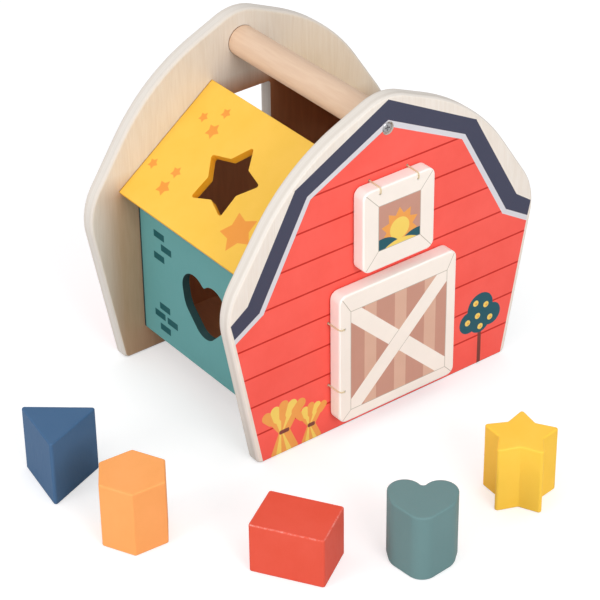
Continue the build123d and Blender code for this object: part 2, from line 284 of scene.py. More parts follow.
class SorterPrintSettings(bpy.types.PropertyGroup):
    """Inks of the prints."""

    siding: colour_setting("Siding", "Red field of the gable boards", 254, 101, 90)
    siding_line: colour_setting("Siding line", "Lines between the boards of the siding", 204, 46, 38)
    band: colour_setting("Band", "Dark band along the gable", 70, 72, 92)
    trim: colour_setting("Trim", "Pale line under the band", 220, 219, 224)
    stripe: colour_setting("Door", "Darker boards of the barn door", 204, 152, 134)
    stripe_pale: colour_setting("Pale door boards", "Paler boards of the barn door", 223, 180, 158)
    fine_line: colour_setting("Fine line", "Mitre lines of the frames", 196, 186, 172)
    roof_star: colour_setting("Roof stars", "Stars printed on the roofs", 243, 159, 72)
    # Painted shadow where the roofs meet the back board
    roof_joint_shadow: colour_setting("Roof joint", "Thin dark joint at the back end of the roofs", 178, 128, 62)
    brick: colour_setting("Bricks", "Brick marks on the walls", 18, 86, 90)
    # Painted shadow in the gap where the walls meet the back board
    joint_shadow: colour_setting("Joint", "Dark joint at the back end of the walls", 34, 62, 66)
    straw: colour_setting("Straw", "Paler straw", 250, 216, 108)
    straw_dark: colour_setting("Dark straw", "Darker straw", 245, 168, 88)
    leaf: colour_setting("Leaves", "Leaves of the printed tree", 40, 92, 104)
    stem: colour_setting("Stems", "Trunk and ties", 128, 70, 62)


class SorterWoodSettings(bpy.types.PropertyGroup):
    """Bare wood with its painted shades, cord and metal."""

    veneer: colour_setting("Veneer", "Inner face of the plywood", 231, 222, 210)
    veneer_dark: colour_setting("Veneer grain", "Grain of the plywood's inner face", 219, 206, 190)
    margin: colour_setting("Margin", "Outer face of the plywood round its print", 243, 235, 226)
    margin_dark: colour_setting("Margin grain", "Grain of the plywood's outer face", 234, 222, 208)
    ply: colour_setting("Ply", "Long-grain plies at the boards' edges", 226, 219, 211)
    ply_dark: colour_setting("Cross ply", "Cross-grain plies at the boards' edges", 221, 213, 204)
    beech: colour_setting("Beech", "Handle", 228, 198, 171)
    beech_dark: colour_setting("Beech grain", "Grain of the handle", 218, 184, 156)
    # Painted shadow where the handle meets the boards
    seam: colour_setting("Seam", "Thin dark joint where the handle meets the boards", 150, 112, 84)
    # Painted shade: the darker colour of the boards' inner faces beside the walls, and how strong it is
    painted_shade_veneer: colour_setting("Shaded veneer", "Inner face of the plywood beside the walls", 203, 170, 138)
    shade: share_setting("Shade", "How far the inner faces darken beside the walls", 1.0)
    # Painted shade: the darker warm brown that stands in for the shadow inside the house
    inside: colour_setting("Inside", "Wood inside the house, in its own warm shade", 206, 148, 107)
    cord: colour_setting("Cord", "Paler cord", 236, 222, 190)
    cord_dark: colour_setting("Dark cord", "Cord between its strands", 196, 170, 122)
    cord_diameter: length_setting("Cord diameter", "Diameter of the twisted cord", 0.9)


class SorterStudioSettings(bpy.types.PropertyGroup):
    """Camera, light and floor."""

    floor: colour_setting("Floor", "Floor of the studio", 206, 206, 207)
    sky: bpy.props.FloatProperty(
        name="Sky", description="Strength of the light from all around", default=1.0, min=0
    )
    key: bpy.props.FloatProperty(
        name="Key light", description="Large soft light in front", default=16, min=0, unit="POWER"
    )
    side: bpy.props.FloatProperty(
        name="Side light", description="Soft light from the left", default=9.5, min=0, unit="POWER"
    )
    horizon: share_setting("Horizon", "Light at the horizon as a share of that overhead", 0.3)
    glow: bpy.props.FloatProperty(
        name="Floor glow", description="Light that the floor adds in the camera's eye alone",
        default=0.5, min=0,
    )
    lens: bpy.props.FloatProperty(
        name="Lens", description="Focal length on a 36 mm wide sensor", default=142.93, min=1, unit="CAMERA"
    )


class Nodes:
    """Adds nodes to one tree and joins them."""

    def __init__(self, tree):
        self.tree = tree
        self.count = 0

    def add(self, kind, inputs=None, **settings):
        """New node with its settings made and its inputs fed."""
        node = self.tree.nodes.new(kind)
        node.location = (180 * (self.count % 14), -260 * (self.count // 14))
        self.count += 1
        for name, value in settings.items():
            setattr(node, name, value)
        for socket, value in (inputs or {}).items():
            self.feed(node.inputs[socket], value)
        return node

    def feed(self, socket, value):
        """Join a socket to another one, or set its value."""
        if isinstance(value, bpy.types.NodeSocket):
            self.tree.links.new(value, socket)
        elif socket.type == "RGBA":
            socket.default_value = (*value, 1)[:4]
        else:
            socket.default_value = value

    def math(self, operation, *values, clamp=False):
        inputs = dict(enumerate(values))
        return self.add("ShaderNodeMath", inputs, operation=operation, use_clamp=clamp).outputs[0]

    def vector(self, operation, *values):
        node = self.add("ShaderNodeVectorMath", dict(enumerate(values)), operation=operation)
        return node.outputs["Value" if operation in ("DOT_PRODUCT", "LENGTH") else "Vector"]

    def split(self, vector):
        return self.add("ShaderNodeSeparateXYZ", {0: vector}).outputs

    def join(self, x, y, z):
        return self.add("ShaderNodeCombineXYZ", {0: x, 1: y, 2: z}).outputs[0]

    def scale(self, vector, factor):
        return self.add("ShaderNodeVectorMath", {0: vector, "Scale": factor}, operation="SCALE").outputs[0]

    def mix(self, share, below, above):
        """Colour above over colour below."""
        node = self.add("ShaderNodeMix", {0: share, 6: below, 7: above}, data_type="RGBA")
        return node.outputs[2]

    def noise(self, vector, scale, detail=2.0, roughness=0.5):
        inputs = {"Vector": vector, "Scale": scale, "Detail": detail, "Roughness": roughness}
        return self.add("ShaderNodeTexNoise", inputs).outputs[0]

    def band(self, value, low, high):
        """Value as a share from low to high, held between 0 and 1."""
        inputs = {"Value": value, "From Min": low, "From Max": high}
        return self.add("ShaderNodeMapRange", inputs).outputs[0]

    def cover(self, distance):
        """1 where a distance in millimetres is below zero, with a soft edge."""
        return self.math("MULTIPLY_ADD", distance, -1 / INK_EDGE, 0.5, clamp=True)

    def group(self, name, **inputs):
        """A shared group, with its sockets named in lower case and underscores."""
        node = self.add("ShaderNodeGroup", node_tree=bpy.data.node_groups[name])
        for label, value in inputs.items():
            self.feed(node.inputs[label.replace("_", " ").capitalize()], value)
        return node.outputs


def new_group(name, inputs, outputs):
    """Shader node group with named sockets; gives its nodes, its inner inputs and its inner outputs."""
    tree = bpy.data.node_groups.new(name, "ShaderNodeTree")
    for label, kind, default in inputs:
        socket = tree.interface.new_socket(label, in_out="INPUT", socket_type=f"NodeSocket{kind}")
        socket.default_value = default
    for label, kind in outputs:
        tree.interface.new_socket(label, in_out="OUTPUT", socket_type=f"NodeSocket{kind}")
    nodes = Nodes(tree)
    return nodes, nodes.add("NodeGroupInput").outputs, nodes.add("NodeGroupOutput").inputs


POINT = ("Point", "Vector", (0, 0, 0))
CENTRE = ("Centre", "Vector", (0, 0, 0))
WHITE = (1, 1, 1, 1)
BROWN = (0.3, 0.2, 0.1, 1)


def build_segment_group():
    """Distance from a straight line between two points."""
    inputs = (POINT, ("Start", "Vector", (0, 0, 0)), ("End", "Vector", (1, 0, 0)))
    nodes, given, made = new_group("Segment", inputs, [("Distance", "Float")])
    reach = nodes.vector("SUBTRACT", given["Point"], given["Start"])
    run = nodes.vector("SUBTRACT", given["End"], given["Start"])
    square = nodes.vector("DOT_PRODUCT", run, run)
    along = nodes.math("DIVIDE", nodes.vector("DOT_PRODUCT", reach, run), square)
    nearest = nodes.scale(run, nodes.math("ADD", along, 0, clamp=True))
    nodes.feed(made["Distance"], nodes.vector("LENGTH", nodes.vector("SUBTRACT", reach, nearest)))


def build_box_group():
    """Distance from the outline of a rectangle with rounded corners."""
    inputs = (POINT, CENTRE, ("Half size", "Vector", (1, 1, 0)), ("Corner", "Float", 0))
    nodes, given, made = new_group("Box", inputs, [("Distance", "Float")])
    away = nodes.vector("ABSOLUTE", nodes.vector("SUBTRACT", given["Point"], given["Centre"]))
    x, y, _ = nodes.split(nodes.vector("SUBTRACT", away, given["Half size"]))
    x = nodes.math("ADD", x, given["Corner"])
    y = nodes.math("ADD", y, given["Corner"])
    outside = nodes.join(nodes.math("MAXIMUM", x, 0), nodes.math("MAXIMUM", y, 0), 0)
    inside = nodes.math("MINIMUM", nodes.math("MAXIMUM", x, y), 0)
    total = nodes.math("ADD", nodes.vector("LENGTH", outside), inside)
    nodes.feed(made["Distance"], nodes.math("SUBTRACT", total, given["Corner"]))


def build_star_group():
    """Distance from the outline of a five-pointed star with a tip in the way that Turn gives."""
    inputs = (POINT, CENTRE, ("Tip", "Float", 1), ("Turn", "Float", 0))
    nodes, given, made = new_group("Star", inputs, [("Distance", "Float")])
    away = nodes.vector("SUBTRACT", given["Point"], given["Centre"])
    x, y, _ = nodes.split(away)
    way = nodes.math("SUBTRACT", nodes.math("ARCTAN2", y, x), given["Turn"])
    folded = nodes.math("PINGPONG", way, math.pi / 5)
    reach = nodes.vector("LENGTH", away)
    side = Vector((STAR_VALLEY * math.sin(math.pi / 5), 1 - STAR_VALLEY * math.cos(math.pi / 5))).normalized()
    along = nodes.math("MULTIPLY", nodes.math("COSINE", folded), side.x)
    across = nodes.math("MULTIPLY", nodes.math("SINE", folded), side.y)
    out = nodes.math("MULTIPLY", reach, nodes.math("ADD", along, across))
    nodes.feed(made["Distance"], nodes.math("SUBTRACT", out, nodes.math("MULTIPLY", given["Tip"], side.x)))


def build_grain_group():
    """Wood grain that runs along X: broad figure, fibres and pores."""
    inputs = (POINT, ("Light", "Color", WHITE), ("Dark", "Color", BROWN), ("Figure", "Float", 0.5))
    nodes, given, made = new_group("Wood grain", inputs, [("Colour", "Color"), ("Height", "Float")])
    broad = nodes.noise(nodes.vector("MULTIPLY", given["Point"], GRAIN_FIGURE), 1.0, 3.0)
    rings = nodes.math("SINE", nodes.math("MULTIPLY", broad, GRAIN_RINGS))
    rings = nodes.math("MULTIPLY_ADD", rings, 0.5, 0.5)
    fibres = nodes.noise(nodes.vector("MULTIPLY", given["Point"], GRAIN_FIBRES), 1.0, 4.0, 0.65)
    pores = nodes.noise(nodes.vector("MULTIPLY", given["Point"], GRAIN_PORES), 1.0, 1.0)
    pores = nodes.band(pores, 0.66, 0.78)
    figure = nodes.math("MULTIPLY", rings, given["Figure"])
    share = nodes.math("MULTIPLY_ADD", nodes.band(fibres, 0.3, 0.75), 0.55, figure)
    share = nodes.math("MULTIPLY_ADD", pores, 0.35, share, clamp=True)
    nodes.feed(made["Colour"], nodes.mix(share, given["Light"], given["Dark"]))
    height = nodes.math("MULTIPLY_ADD", pores, -0.6, nodes.math("MULTIPLY", fibres, 0.5))
    nodes.feed(made["Height"], height)


def build_ply_group():
    """Edge of plywood: plies of two tones and thin glue lines, by the depth in the board."""
    inputs = (POINT, ("Depth", "Float", 0), ("Light", "Color", WHITE), ("Dark", "Color", BROWN))
    nodes, given, made = new_group("Plywood edge", inputs, [("Colour", "Color"), ("Height", "Float")])
    wander = nodes.noise(nodes.scale(given["Point"], 0.05), 1.0, 2.0)
    depth = nodes.math("MULTIPLY_ADD", nodes.math("SUBTRACT", wander, 0.5), 0.5, given["Depth"])
    turn = nodes.math("PINGPONG", depth, PLY_THICKNESS)
    cross = nodes.math("PINGPONG", depth, 2 * PLY_THICKNESS)
    cross = nodes.band(cross, PLY_THICKNESS - PLY_BLUR, PLY_THICKNESS + PLY_BLUR)
    fibres = nodes.noise(nodes.vector("MULTIPLY", given["Point"], (0.5, 4.0, 0.5)), 1.0, 3.0, 0.6)
    tone = nodes.math("MULTIPLY_ADD", nodes.math("SUBTRACT", fibres, 0.5), 0.7, cross, clamp=True)
    plain = nodes.mix(tone, given["Light"], given["Dark"])
    glue = nodes.math("MULTIPLY", nodes.band(turn, *GLUE_LINE), GLUE_SHARE)
    nodes.feed(made["Colour"], nodes.mix(glue, plain, linear(*GLUE_TONE)))
    nodes.feed(made["Height"], nodes.math("MULTIPLY_ADD", glue, -0.6, nodes.math("MULTIPLY", fibres, 0.4)))


def build_paint_group():
    """Matt paint on wood: a faint cloud, the wood's texture, specks, and paint rubbed off the edges."""
    inputs = (
        POINT, ("Paint", "Color", WHITE), ("Wood", "Color", BROWN),
        ("Edge", "Float", 0), ("Wear", "Float", 0.3),
    )
    outputs = [("Colour", "Color"), ("Roughness", "Float"), ("Height", "Float")]
    nodes, given, made = new_group("Painted wood", inputs, outputs)
    cloud = nodes.noise(nodes.scale(given["Point"], PAINT_CLOUD), 1.0, 3.0, 0.6)
    shade = nodes.add("ShaderNodeHueSaturation", {"Value": 0.95, "Saturation": 1.02, "Color": given["Paint"]})
    colour = nodes.mix(nodes.band(cloud, 0.3, 0.8), given["Paint"], shade.outputs[0])
    texture = nodes.noise(nodes.vector("MULTIPLY", given["Point"], PAINT_TEXTURE), 1.0, 4.0, 0.6)
    colour = nodes.mix(nodes.math("MULTIPLY", nodes.band(texture, 0.5, 0.85), 0.3), colour, shade.outputs[0])
    rub = nodes.noise(nodes.scale(given["Point"], PAINT_RUB), 1.0, 5.0, 0.7)
    worn = nodes.math("ADD", rub, nodes.math("MULTIPLY", given["Wear"], 0.6))
    worn = nodes.math("MULTIPLY", nodes.band(worn, 0.72, 1.0), given["Edge"])
    nodes.feed(made["Colour"], nodes.mix(nodes.math("MULTIPLY", worn, 0.35), colour, given["Wood"]))
    nodes.feed(made["Roughness"], nodes.math("MULTIPLY_ADD", texture, 0.18, 0.38))
    peel = nodes.noise(nodes.scale(given["Point"], PAINT_PEEL), 1.0, 2.0)
    height = nodes.math("MULTIPLY_ADD", peel, 0.35, nodes.math("MULTIPLY", texture, 0.5))
    nodes.feed(made["Height"], nodes.math("MULTIPLY_ADD", worn, -0.5, height))


def build_groups():
    """Every shared group, made once."""
    for build in (
        build_segment_group, build_box_group, build_star_group,
        build_grain_group, build_ply_group, build_paint_group,
    ):
        build()


class Drawing:
    """Ink on a flat face, painted shape by shape over what lies below."""

    def __init__(self, nodes, across, up, ground):
        self.nodes = nodes
        self.across = across
        self.up = up
        self.colour = ground
        self.point = nodes.join(across, up, 0)
        self.mirrored = nodes.join(nodes.math("ABSOLUTE", across), up, 0)

    def polygon(self, corners, mirrored=False, lapped=()):
        """Distance from a convex outline whose corners run anticlockwise.

        The sides whose numbers are in lapped reach a little further, over the shape beside them.
        """
        nodes = self.nodes
        point = self.mirrored if mirrored else self.point
        result = None
        for number, ((x, y), (next_x, next_y)) in enumerate(zip(corners, corners[1:] + corners[:1])):
            out = Vector((next_y - y, x - next_x, 0)).normalized()
            offset = out.x * x + out.y * y + (INK_LAP if number in lapped else 0)
            side = nodes.math("SUBTRACT", nodes.vector("DOT_PRODUCT", point, out), offset)
            result = side if result is None else nodes.math("MAXIMUM", result, side)
        return result

    def union(self, *distances):
        result = distances[0]
        for distance in distances[1:]:
            result = self.nodes.math("MINIMUM", result, distance)
        return result

    def within(self, distance, *limits):
        for limit in limits:
            distance = self.nodes.math("MAXIMUM", distance, limit)
        return distance

    def grow(self, distance, amount):
        return self.nodes.math("SUBTRACT", distance, amount)

    def line(self, start, end, width):
        """Distance from a straight line's rounded outline."""
        middle = self.nodes.group("Segment", point=self.point, start=(*start, 0), end=(*end, 0))[0]
        return self.grow(middle, width / 2)

    def dot(self, centre, radius):
        return self.line(centre, (centre[0] + INK_EDGE, centre[1]), 2 * radius)

    def box(self, low, high, corner=0):
        """Distance from an upright rectangle between two corners."""
        centre = ((low[0] + high[0]) / 2, (low[1] + high[1]) / 2, 0)
        half = ((high[0] - low[0]) / 2, (high[1] - low[1]) / 2, 0)
        return self.nodes.group("Box", point=self.point, centre=centre, half_size=half, corner=corner)[0]

    def star(self, centre, tip, turn):
        return self.nodes.group("Star", point=self.point, centre=(*centre, 0), tip=tip, turn=turn)[0]

    def repeat(self, value, first, pitch, width):
        """Distance from the edges of lines of one width at an even pitch."""
        nearest = self.nodes.math("PINGPONG", self.nodes.math("SUBTRACT", value, first), pitch / 2)
        return self.grow(nearest, width / 2)

    def ink(self, distance, colour):
        self.colour = self.nodes.mix(self.nodes.cover(distance), self.colour, colour)


class Finish:
    """One material: its position in millimetres, its own normal, and its shader."""

    def __init__(self, name, **shader_values):
        self.material = bpy.data.materials.new(name)
        self.material.use_nodes = True
        tree = self.material.node_tree
        self.shader = next(node for node in tree.nodes if node.type == "BSDF_PRINCIPLED")
        self.nodes = Nodes(tree)
        place = self.nodes.add("ShaderNodeTexCoord")
        self.point = self.nodes.scale(place.outputs["Object"], 1 / MM)
        self.x, self.y, self.z = self.nodes.split(self.point)
        self.normal = place.outputs["Normal"]
        self.normal_x, self.normal_y, self.normal_z = self.nodes.split(self.normal)
        for label, value in shader_values.items():
            self.nodes.feed(self.shader.inputs[label.replace("_", " ")], value)

    def set(self, colour, roughness=None, height=None, bump=0.1, distance=0.1):
        """Feed the shader; the bump's distance is in millimetres."""
        self.nodes.feed(self.shader.inputs["Base Color"], colour)
        if roughness is not None:
            self.nodes.feed(self.shader.inputs["Roughness"], roughness)
        if height is not None:
            inputs = {"Strength": bump, "Distance": distance * MM, "Height": height}
            self.nodes.feed(self.shader.inputs["Normal"], self.nodes.add("ShaderNodeBump", inputs).outputs[0])
        return self.material

    def turned(self, order):
        """Position with its axes in another order, so that the grain runs along the first one."""
        axes = {"x": self.x, "y": self.y, "z": self.z}
        return self.nodes.join(*(axes[axis] for axis in order))

    def grain(self, order, light, dark, figure):
        """Wood grain along the first of the axes in order."""
        return self.nodes.group(
            "Wood grain", point=self.turned(order), light=light, dark=dark, figure=figure
        )

    def rounding(self, along):
        """1 on a rounded edge, halfway between the faces that a normal's part tells apart."""
        square = self.nodes.math("MULTIPLY", along, along)
        rest = self.nodes.math("SUBTRACT", 1, square)
        return self.nodes.math("MULTIPLY", self.nodes.math("MULTIPLY", square, rest), 4, clamp=True)

    def painted(self, paint, wood, edge, wear):
        """Matt paint all over, rubbed off where edge says."""
        return self.nodes.group(
            "Painted wood", point=self.point, paint=paint, wood=wood, edge=edge, wear=wear
        )


def dress(node, material):
    """Give a loaded part its one finish."""
    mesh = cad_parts[node].data
    mesh.materials.clear()
    mesh.materials.append(material)


def plywood(finish, outer_face):
    """Bare board: veneer on its two faces and plies at its edges. Gives colour, height and depth."""
    nodes = finish.nodes
    wood = bpy.context.scene.sorter_wood
    thickness = box_mm("front_board")[1].y - box_mm("front_board")[0].y
    depth = nodes.math("ABSOLUTE", nodes.math("SUBTRACT", finish.y, outer_face))
    outside = nodes.math("LESS_THAN", depth, thickness / 2)
    light = nodes.mix(outside, wood.veneer, wood.margin)
    dark = nodes.mix(outside, wood.veneer_dark, wood.margin_dark)
    veneer = finish.grain("zxy", light, dark, figure=0.28)
    edge = nodes.group("Plywood edge", point=finish.point, depth=depth, light=wood.ply, dark=wood.ply_dark)
    from_face = nodes.math("PINGPONG", depth, thickness / 2)
    inner = nodes.band(from_face, *VENEER_DEPTH)
    colour = nodes.mix(inner, veneer["Colour"], edge["Colour"])
    height = nodes.add("ShaderNodeMix", {0: inner, 2: veneer["Height"], 3: edge["Height"]}).outputs[0]
    return colour, height, depth


def inside_painted_shade():
    """The two tones of the painted shade on the wood inside the house: a darker brown in place of its shadow.
    """
    light = bpy.context.scene.sorter_wood.inside
    return light, [INSIDE_GRAIN * value for value in light]


def painted_shade_beside_walls(finish):
    """Mask of the painted shade: 1 on the boards right beside the walls, fading outwards and above the eaves.
    """
    nodes = finish.nodes
    wall = box_mm("right_wall")[1]
    away = nodes.math("SUBTRACT", nodes.math("ABSOLUTE", finish.x), wall.x)
    near = nodes.band(away, *SHADE_REACH[::-1])
    low = nodes.band(finish.z, wall.z + SHADE_FADE[0], wall.z + SHADE_FADE[1])
    return nodes.math("MULTIPLY", nodes.math("MULTIPLY", near, low), bpy.context.scene.sorter_wood.shade)


def room(finish):
    """Mask of the painted shade inside the house: 1 in the room between the walls, the roofs and the floor,
    and less in the gap under the ridge.
    """
    nodes = finish.nodes
    across = nodes.math("ABSOLUTE", finish.x)
    _, wall = box_mm("right_wall")
    _, floor = box_mm("floor_panel")
    outward, up_slope, eave = roof_ways("right_roof")
    roof = max(vertex.co.dot(outward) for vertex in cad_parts["right_roof"].data.vertices) / MM
    under = nodes.vector("DOT_PRODUCT", nodes.join(across, 0, finish.z), (outward.x, 0, outward.z))
    walls = nodes.math("SUBTRACT", across, wall.x - PANEL_OVERLAP)
    roofs = nodes.math("SUBTRACT", under, roof - PANEL_OVERLAP)
    below = nodes.math("SUBTRACT", floor.z - PANEL_OVERLAP, finish.z)
    inside = nodes.cover(nodes.math("MAXIMUM", nodes.math("MAXIMUM", walls, roofs), below))
    _, ridge = box_mm("right_roof")
    faded = nodes.band(finish.z, ridge.z - RIDGE_FADE[0], ridge.z - RIDGE_FADE[1])
    return nodes.math("MULTIPLY", inside, faded)


def gable_print(drawing, inks):
    """Red siding, dark band and pale trim, alike on both boards."""
    foot = FIELD_FOOT[1]
    side = list(FIELD_FOOT), BAND_FOOT[3]
    lower = [(0, foot), side[0], side[1], BAND_FOOT[2], (0, BAND_FOOT[2][1])]
    upper = [(0, BAND_FOOT[2][1]), BAND_FOOT[2], BAND_FOOT[1], BAND_FOOT[0]]
    field = drawing.union(drawing.polygon(lower, True, (3, 4)), drawing.polygon(upper, True, (0, 3)))
    drawing.ink(field, inks.siding)
    lines = drawing.repeat(drawing.up, SIDING_FIRST, SIDING_PITCH, SIDING_LINE)
    reach = drawing.box((-BEYOND_BOARD, SIDING_REACH[0]), (BEYOND_BOARD, SIDING_REACH[1]))
    drawing.ink(drawing.within(lines, field, reach), inks.siding_line)
    for top, low, colour in ((BAND_FOOT, TRIM_FOOT, inks.trim), (BAND_TOP, BAND_FOOT, inks.band)):
        strips = []
        for i in range(len(top) - 1):
            joined = (1, 3) if i + 2 < len(top) else (3,)
            strips.append(drawing.polygon([low[i], low[i + 1], top[i + 1], top[i]], True, joined))
        drawing.ink(drawing.union(*strips), colour)


def straw_sheaf(drawing, inks, middle, height):
    """Tied sheaf of straw that stands on the board's foot."""
    foot = FIELD_FOOT[1]
    waist = foot + SHEAF_WAIST[0] * height
    half = SHEAF_WAIST[1] * height
    for number, share in enumerate(STRAWS):
        spread = share * SHEAF_SPREAD * height
        stops = (
            (middle + STRAW_TOE * spread, foot + STRAW_FOOT),
            (middle + STRAW_KNEE * spread, waist),
            (middle + STRAW_EAR * spread, foot + SHEAF_EARS * height),
            (middle + spread, foot + height * (SHEAF_TOP - SHEAF_DROOP * abs(share))),
        )
        colour = inks.straw if number % 2 else inks.straw_dark
        for start, end, width in zip(stops, stops[1:], STRAW_WIDTHS):
            drawing.ink(drawing.line(start, end, width * height), colour)
    low, high = (middle - half, waist - HALF_TIE), (middle + half, waist + HALF_TIE)
    drawing.ink(drawing.box(low, high, TIE_CORNER), inks.stem)


def fruit_tree(drawing, inks, middle, crown):
    """Small round tree with yellow fruit."""
    drawing.ink(drawing.line((middle, FIELD_FOOT[1]), (middle, crown), TRUNK_WIDTH), inks.stem)
    rounds = [drawing.dot((middle + x, crown + z), radius) for x, z, radius in TREE_LEAVES]
    drawing.ink(drawing.union(*rounds), inks.leaf)
    for x, z in TREE_FRUIT:
        across, up = middle + x, crown + z
        shade = (across + FRUIT_SHADE_SHIFT, up - FRUIT_SHADE_SHIFT)
        drawing.ink(drawing.dot((across, up), FRUIT_RADIUS), inks.straw)
        drawing.ink(drawing.dot(shade, FRUIT_SHADE_RADIUS), inks.straw_dark)


def finish_board(name, outward, pictures):
    """Plywood gable board with its print on the outer face; pictures draws what differs."""
    scene = bpy.context.scene
    finish = Finish(f"{name} finish", Specular_IOR_Level=MATT)
    nodes = finish.nodes
    low, high = box_mm(name)
    outer_face, inner_face = (low.y, high.y) if outward < 0 else (high.y, low.y)
    colour, height, depth = plywood(finish, outer_face)
    grain = finish.grain("zxy", *inside_painted_shade(), figure=0.4)
    from_inner = nodes.math("ABSOLUTE", nodes.math("SUBTRACT", finish.y, inner_face))
    on_inner = nodes.cover(nodes.math("SUBTRACT", from_inner, PRINT_DEPTH))
    # Painted shade: the inner face is darkened beside the walls
    shade = nodes.math("MULTIPLY", on_inner, painted_shade_beside_walls(finish))
    wood = scene.sorter_wood
    painted_shade_tint = [painted_shade_veneer / veneer for painted_shade_veneer, veneer in zip(wood.painted_shade_veneer, wood.veneer)]
    colour = nodes.vector("MULTIPLY", colour, nodes.mix(shade, (1, 1, 1), painted_shade_tint))
    # Painted shade: inside the house the inner face takes the darker brown that stands in for the shadow
    # there
    colour = nodes.mix(nodes.math("MULTIPLY", on_inner, room(finish)), colour, grain["Colour"])
    drawing = Drawing(nodes, finish.x, finish.z, colour)
    gable_print(drawing, scene.sorter_prints)
    pictures(drawing, scene.sorter_prints)
    printed = nodes.group(
        "Painted wood", point=finish.point, paint=drawing.colour, wood=wood.ply, edge=0, wear=0
    )
    foot = nodes.math("LESS_THAN", finish.z, FOOT_BAND)
    reach = nodes.math("MULTIPLY_ADD", foot, PRINT_DEPTH_AT_FOOT - PRINT_DEPTH, PRINT_DEPTH)
    on_face = nodes.cover(nodes.math("SUBTRACT", depth, reach))
    colour = nodes.mix(on_face, colour, printed["Colour"])
    return finish.set(colour, printed["Roughness"], height, bump=0.25, distance=0.12)


def front_pictures(drawing, inks):
    for middle, height in SHEAVES:
        straw_sheaf(drawing, inks, middle, height)
    fruit_tree(drawing, inks, *TREE)


def back_pictures(drawing, inks):
    """Cream frame round the window opening."""
    half, foot, top = BACK_OPENING
    width = BACK_FRAME_WIDTH
    low, high = (-half - width, foot - width), (half + width, top + width)
    drawing.ink(drawing.box(low, high, BACK_FRAME_CORNER), bpy.context.scene.sorter_paint.cream)
    for side in (-1, 1):
        for z, up in ((top, 1), (foot, -1)):
            corner = (side * half, z)
            run = width - BACK_MITRE_SHORT
            end = (side * (half + run), z + up * run)
            drawing.ink(drawing.line(corner, end, MITRE_LINE), inks.fine_line)


def mitres(drawing, inks, leaf_box, panel):
    """Fine lines from the corners of a leaf to the corners of its panel."""
    (left, foot), (right, top) = panel
    ends = (
        ((left, foot), (leaf_box[0].x + MITRE_START, leaf_box[0].z + MITRE_START)),
        ((right, foot), (leaf_box[1].x - MITRE_START, leaf_box[0].z + MITRE_START)),
        ((left, top), (leaf_box[0].x + MITRE_START, leaf_box[1].z - MITRE_START)),
        ((right, top), (leaf_box[1].x - MITRE_START, leaf_box[1].z - MITRE_START)),
    )
    for start, end in ends:
        drawing.ink(drawing.line(start, end, MITRE_LINE), inks.fine_line)


def panel_corners(leaf_box, margins):
    """Lower left and upper right corner of the panel inside a leaf's frame."""
    left, right, foot, top = margins
    return (leaf_box[0].x + left, leaf_box[0].z + foot), (leaf_box[1].x - right, leaf_box[1].z - top)


def door_print(drawing, inks, cream, leaf_box):
    """Striped panel with an X brace whose rising bar lies on top."""
    panel = panel_corners(leaf_box, DOOR_PANEL_MARGINS)
    (left, foot), (right, top) = panel
    area = drawing.box(*panel)
    drawing.ink(area, inks.stripe)
    stripes = drawing.repeat(drawing.across, left + STRIPE_FIRST, STRIPE_PITCH, STRIPE_WIDTH)
    drawing.ink(drawing.within(stripes, area), inks.stripe_pale)
    falling = drawing.line((left, top), (right, foot), BRACE_WIDTH)
    rising = drawing.line((left, foot), (right, top), BRACE_WIDTH)
    drawing.ink(drawing.within(falling, area), cream)
    drawing.ink(drawing.within(drawing.grow(rising, MITRE_LINE), area, falling), inks.fine_line)
    drawing.ink(drawing.within(rising, area), cream)
    rim = drawing.grow(drawing.nodes.math("ABSOLUTE", area), MITRE_LINE / 2)
    drawing.ink(rim, inks.fine_line)
    mitres(drawing, inks, leaf_box, panel)


def window_print(drawing, inks, cream, leaf_box):
    """Plain panel with a rising sun over two rows of hills."""
    panel = panel_corners(leaf_box, WINDOW_PANEL_MARGINS)
    (left, foot), (right, top) = panel
    area = drawing.box(*panel)
    drawing.ink(area, inks.stripe)
    middle = (left + right) / 2
    sun = (middle, foot + SUN_HEIGHT)
    burst = drawing.union(*(drawing.star(sun, SUNBEAM_REACH, side * math.pi / 2) for side in (1, -1)))
    drawing.ink(drawing.within(burst, area), inks.straw_dark)
    drawing.ink(drawing.within(drawing.dot(sun, SUN_RADIUS), area), inks.straw)
    left_hill, right_hill, field = (
        drawing.dot((start + across, foot + up), radius)
        for start, (across, up, radius) in ((left, LEFT_HILL), (right, RIGHT_HILL), (middle, NEAR_FIELD))
    )
    drawing.ink(drawing.within(drawing.union(left_hill, right_hill), area), inks.leaf)
    drawing.ink(drawing.within(field, area), inks.straw)
    rim = drawing.grow(drawing.nodes.math("ABSOLUTE", area), MITRE_LINE / 2)
    drawing.ink(rim, inks.fine_line)
    mitres(drawing, inks, leaf_box, panel)


def finish_leaf(name, draw):
    """Cream leaf with its print on the front."""
    scene = bpy.context.scene
    paint = scene.sorter_paint
    finish = Finish(f"{name} finish", Specular_IOR_Level=MATT)
    nodes = finish.nodes
    leaf_box = box_mm(name)
    drawing = Drawing(nodes, finish.x, finish.z, nodes.add("ShaderNodeRGB").outputs[0])
    drawing.colour.default_value = (*paint.cream, 1)
    draw(drawing, scene.sorter_prints, paint.cream, leaf_box)
    on_face = nodes.cover(nodes.math("SUBTRACT", finish.y, leaf_box[0].y + PRINT_DEPTH))
    # Painted light: the sides take a paler copy of the cream in place of the light falling on them
    colour = nodes.mix(on_face, paint.leaf_side_painted_light, drawing.colour)
    edge = finish.rounding(finish.normal_y)
    painted = finish.painted(colour, scene.sorter_wood.veneer_dark, edge, LEAF_WEAR)
    return finish.set(painted["Colour"], painted["Roughness"], painted["Height"], bump=0.2, distance=0.1)


